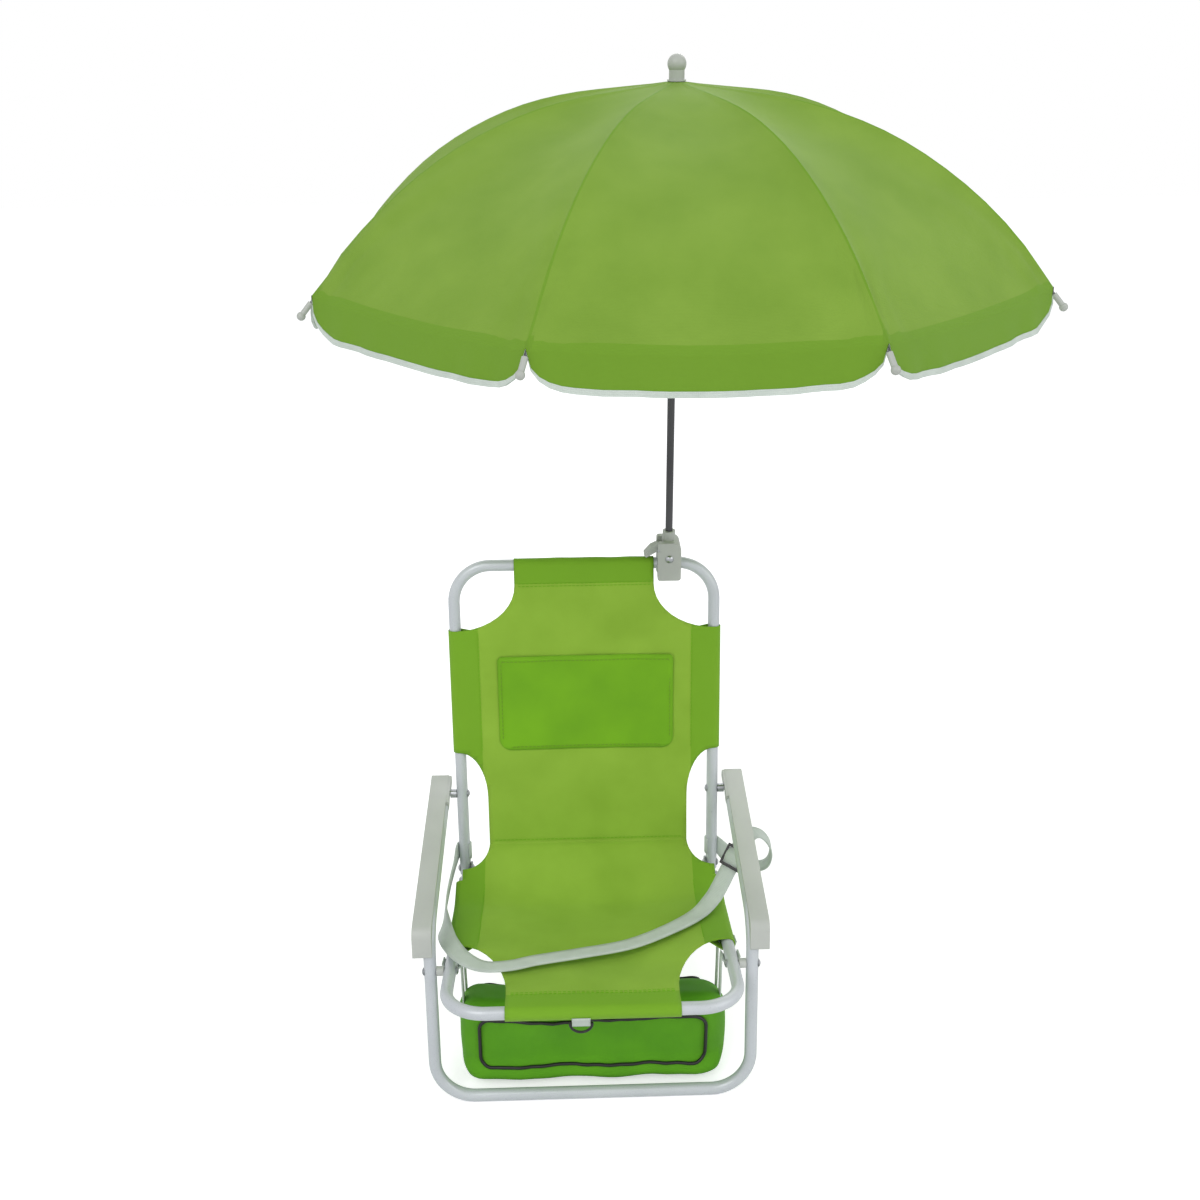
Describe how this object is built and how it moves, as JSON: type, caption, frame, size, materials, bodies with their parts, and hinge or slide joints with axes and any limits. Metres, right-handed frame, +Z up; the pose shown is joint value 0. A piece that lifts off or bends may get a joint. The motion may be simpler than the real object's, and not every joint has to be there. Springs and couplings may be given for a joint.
{
  "type": "folding beach chair with parasol",
  "caption": "Low folding beach chair for a child: bent tube frame, cloth sling seat, plastic armrests, bag under the seat, carrying strap and a clamp-on parasol.",
  "frame": {"origin": "on the ground, in line with the parasol pole from side to side and midway between the front of the seat and the rear of the parasol", "axes": "+Z up; -Y the way that a seated child faces; +X towards the seated child's left"},
  "size_m": [0.7028, 0.7178, 1.01],
  "materials": {
    "frame_paint": "satin",
    "zinc_steel": "satin",
    "arm_plastic": "satin",
    "white_plastic": "satin",
    "black_plastic": "satin",
    "sling_cloth": "matte",
    "pocket_cloth": "matte",
    "bag_cloth": "matte",
    "webbing": "matte",
    "canopy_cloth": "matte",
    "wire_paint": "satin"
  },
  "bodies": {
    "seat": {"seat_tube": "frame_paint", "seat_end_caps": "black_plastic", "hinge_plates": "zinc_steel", "hinge_rivets": "zinc_steel", "leg_brackets": "zinc_steel", "leg_rivets": "zinc_steel", "seat_rivets": "zinc_steel", "frame_spacers": "arm_plastic", "sling_seat": "sling_cloth", "sling_crease": "sling_cloth", "ring_tab": "webbing", "storage_bag": "bag_cloth", "shoulder_strap": "webbing", "strap_buckle": "black_plastic"},
    "front_frame": {"front_tube": "frame_paint", "armrest_left": "arm_plastic", "armrest_right": "arm_plastic", "armrest_screws": "zinc_steel"},
    "rear_leg": {"rear_tube": "frame_paint", "rear_end_caps": "black_plastic"},
    "back": {"back_tube": "frame_paint", "back_end_caps": "frame_paint", "arm_pins": "zinc_steel", "sling_back": "sling_cloth", "back_pocket": "pocket_cloth", "clamp_body": "white_plastic", "clamp_fasteners": "zinc_steel", "lock_pad": "black_plastic"},
    "ring": {"d_ring": "black_plastic"},
    "lever": {"lock_lever": "white_plastic"},
    "parasol": {"pole": "wire_paint", "crown": "white_plastic", "finial": "white_plastic", "canopy": "canopy_cloth"},
    "slider": {"runner": "white_plastic"},
    "rib_arm_1": {"rib_1": "wire_paint", "rib_tip_1": "white_plastic"},
    "strut_1": {"stretcher_1": "wire_paint"},
    "rib_arm_2": {"rib_2": "wire_paint", "rib_tip_2": "white_plastic"},
    "strut_2": {"stretcher_2": "wire_paint"},
    "rib_arm_3": {"rib_3": "wire_paint", "rib_tip_3": "white_plastic"},
    "strut_3": {"stretcher_3": "wire_paint"},
    "rib_arm_4": {"rib_4": "wire_paint", "rib_tip_4": "white_plastic"},
    "strut_4": {"stretcher_4": "wire_paint"},
    "rib_arm_5": {"rib_5": "wire_paint", "rib_tip_5": "white_plastic"},
    "strut_5": {"stretcher_5": "wire_paint"},
    "rib_arm_6": {"rib_6": "wire_paint", "rib_tip_6": "white_plastic"},
    "strut_6": {"stretcher_6": "wire_paint"},
    "rib_arm_7": {"rib_7": "wire_paint", "rib_tip_7": "white_plastic"},
    "strut_7": {"stretcher_7": "wire_paint"},
    "rib_arm_8": {"rib_8": "wire_paint", "rib_tip_8": "white_plastic"},
    "strut_8": {"stretcher_8": "wire_paint"}
  },
  "joints": [
    {"name": "back_fold", "type": "hinge", "parent": "seat", "child": "back", "pos_m": [-0.095, -0.06397, 0.12531], "axis": [1, 0, 0], "range_deg": [0, 84], "deforming": ["sling_crease", "shoulder_strap", "strap_buckle"]},
    {"name": "frame_swing", "type": "hinge", "parent": "seat", "child": "front_frame", "pos_m": [-0.095, -0.2689, 0.152], "axis": [1, 0, 0], "range_deg": [0, 25.4]},
    {"name": "rear_fold", "type": "hinge", "parent": "seat", "child": "rear_leg", "pos_m": [-0.095, -0.13487, 0.1092], "axis": [-1, 0, 0], "range_deg": [0, 125], "deforming": ["storage_bag"]},
    {"name": "ring_swing", "type": "hinge", "parent": "seat", "child": "ring", "pos_m": [-0.107, -0.3491, 0.15305], "axis": [1, 0, 0], "range_deg": [-70, 70]},
    {"name": "lever_turn", "type": "hinge", "parent": "back", "child": "lever", "pos_m": [-0.012, 0.00751, 0.5068], "axis": [0, 1, 0], "range_deg": [0, 75]},
    {"name": "pole_lift", "type": "slide", "parent": "back", "child": "parasol", "axis": [0, 0, 1], "range_m": [0, 0.024]},
    {"name": "runner_slide", "type": "slide", "parent": "parasol", "child": "slider", "axis": [0, 0, -1], "range_m": [0, 0.23], "deforming": ["canopy"]},
    {"name": "rib_turn_1", "type": "hinge", "parent": "parasol", "child": "rib_arm_1", "pos_m": [0.00831, 0.00407, 0.9814], "axis": [0.3827, 0.9239, 0], "range_deg": [0, 60.2]},
    {"name": "strut_turn_1", "type": "hinge", "parent": "rib_arm_1", "child": "strut_1", "pos_m": [0.17428, -0.06468, 0.94412], "axis": [0.3827, 0.9239, 0], "range_deg": [-103.6, 0]},
    {"name": "rib_turn_2", "type": "hinge", "parent": "parasol", "child": "rib_arm_2", "pos_m": [0.00344, -0.0008, 0.9814], "axis": [0.9239, 0.3827, 0], "range_deg": [0, 60.2]},
    {"name": "strut_turn_2", "type": "hinge", "parent": "rib_arm_2", "child": "strut_2", "pos_m": [0.07219, -0.16677, 0.94412], "axis": [0.9239, 0.3827, 0], "range_deg": [-103.6, 0]},
    {"name": "rib_turn_3", "type": "hinge", "parent": "parasol", "child": "rib_arm_3", "pos_m": [-0.00344, -0.0008, 0.9814], "axis": [0.9239, -0.3827, 0], "range_deg": [0, 60.2]},
    {"name": "strut_turn_3", "type": "hinge", "parent": "rib_arm_3", "child": "strut_3", "pos_m": [-0.07219, -0.16677, 0.94412], "axis": [0.9239, -0.3827, 0], "range_deg": [-103.6, 0]},
    {"name": "rib_turn_4", "type": "hinge", "parent": "parasol", "child": "rib_arm_4", "pos_m": [-0.00831, 0.00407, 0.9814], "axis": [0.3827, -0.9239, 0], "range_deg": [0, 60.2]},
    {"name": "strut_turn_4", "type": "hinge", "parent": "rib_arm_4", "child": "strut_4", "pos_m": [-0.17428, -0.06468, 0.94412], "axis": [0.3827, -0.9239, 0], "range_deg": [-103.6, 0]},
    {"name": "rib_turn_5", "type": "hinge", "parent": "parasol", "child": "rib_arm_5", "pos_m": [-0.00831, 0.01096, 0.9814], "axis": [-0.3827, -0.9239, 0], "range_deg": [0, 60.2]},
    {"name": "strut_turn_5", "type": "hinge", "parent": "rib_arm_5", "child": "strut_5", "pos_m": [-0.17428, 0.0797, 0.94412], "axis": [-0.3827, -0.9239, 0], "range_deg": [-103.6, 0]},
    {"name": "rib_turn_6", "type": "hinge", "parent": "parasol", "child": "rib_arm_6", "pos_m": [-0.00344, 0.01583, 0.9814], "axis": [-0.9239, -0.3827, 0], "range_deg": [0, 60.2]},
    {"name": "strut_turn_6", "type": "hinge", "parent": "rib_arm_6", "child": "strut_6", "pos_m": [-0.07219, 0.18179, 0.94412], "axis": [-0.9239, -0.3827, 0], "range_deg": [-103.6, 0]},
    {"name": "rib_turn_7", "type": "hinge", "parent": "parasol", "child": "rib_arm_7", "pos_m": [0.00344, 0.01583, 0.9814], "axis": [-0.9239, 0.3827, 0], "range_deg": [0, 60.2]},
    {"name": "strut_turn_7", "type": "hinge", "parent": "rib_arm_7", "child": "strut_7", "pos_m": [0.07219, 0.18179, 0.94412], "axis": [-0.9239, 0.3827, 0], "range_deg": [-103.6, 0]},
    {"name": "rib_turn_8", "type": "hinge", "parent": "parasol", "child": "rib_arm_8", "pos_m": [0.00831, 0.01096, 0.9814], "axis": [-0.3827, 0.9239, 0], "range_deg": [0, 60.2]},
    {"name": "strut_turn_8", "type": "hinge", "parent": "rib_arm_8", "child": "strut_8", "pos_m": [0.17428, 0.0797, 0.94412], "axis": [-0.3827, 0.9239, 0], "range_deg": [-103.6, 0]}
  ],
  "couplings": [
    {"joint": "frame_swing", "follows": "back_fold", "ratio": 0.3},
    {"joint": "rib_turn_1", "follows": "runner_slide", "rad_per_m": 4.5339},
    {"joint": "strut_turn_1", "follows": "runner_slide", "rad_per_m": -7.8093},
    {"joint": "rib_turn_2", "follows": "runner_slide", "rad_per_m": 4.5339},
    {"joint": "strut_turn_2", "follows": "runner_slide", "rad_per_m": -7.8093},
    {"joint": "rib_turn_3", "follows": "runner_slide", "rad_per_m": 4.5339},
    {"joint": "strut_turn_3", "follows": "runner_slide", "rad_per_m": -7.8093},
    {"joint": "rib_turn_4", "follows": "runner_slide", "rad_per_m": 4.5339},
    {"joint": "strut_turn_4", "follows": "runner_slide", "rad_per_m": -7.8093},
    {"joint": "rib_turn_5", "follows": "runner_slide", "rad_per_m": 4.5339},
    {"joint": "strut_turn_5", "follows": "runner_slide", "rad_per_m": -7.8093},
    {"joint": "rib_turn_6", "follows": "runner_slide", "rad_per_m": 4.5339},
    {"joint": "strut_turn_6", "follows": "runner_slide", "rad_per_m": -7.8093},
    {"joint": "rib_turn_7", "follows": "runner_slide", "rad_per_m": 4.5339},
    {"joint": "strut_turn_7", "follows": "runner_slide", "rad_per_m": -7.8093},
    {"joint": "rib_turn_8", "follows": "runner_slide", "rad_per_m": 4.5339},
    {"joint": "strut_turn_8", "follows": "runner_slide", "rad_per_m": -7.8093}
  ]
}
